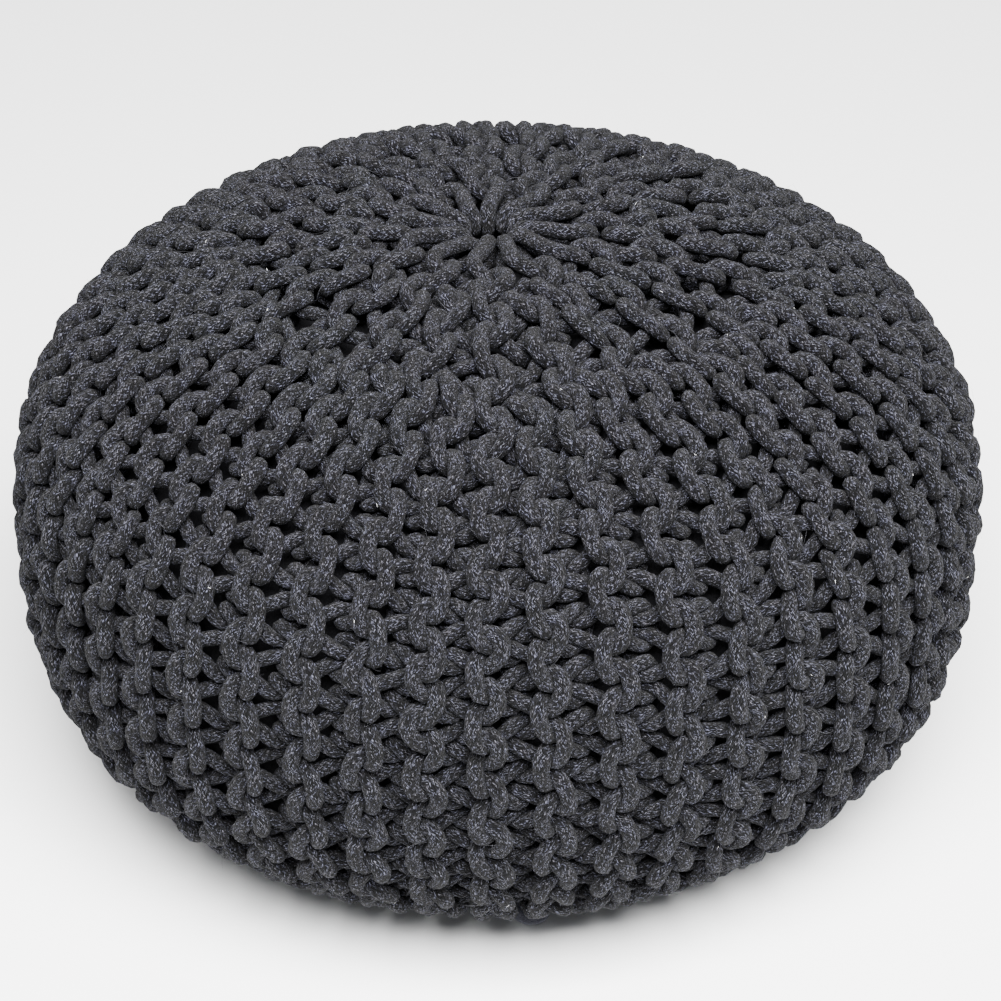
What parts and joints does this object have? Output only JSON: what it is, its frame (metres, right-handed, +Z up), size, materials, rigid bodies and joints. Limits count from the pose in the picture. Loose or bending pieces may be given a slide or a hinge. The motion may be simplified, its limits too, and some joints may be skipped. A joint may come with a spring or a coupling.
{
  "type": "knitted pouf",
  "caption": "Round floor pouf: a filled bag in a thick hand-knitted cord cover, ridged from its gathered top down to a flat base.",
  "frame": {"origin": "centre of the flat base, on the floor", "axes": "+Z up through both gathered eyes; the pouf is round, so +X and +Y point along crests of ridges"},
  "size_m": [0.5, 0.5, 0.3122],
  "materials": {
    "knitted_cord": "soft matt charcoal cotton cord, mottled with paler and darker flecks",
    "casing_cloth": "plain dark woven cloth"
  },
  "bodies": {
    "root": {"knitted_cover": "knitted_cord", "inner_casing": "casing_cloth"}
  },
  "joints": []
}
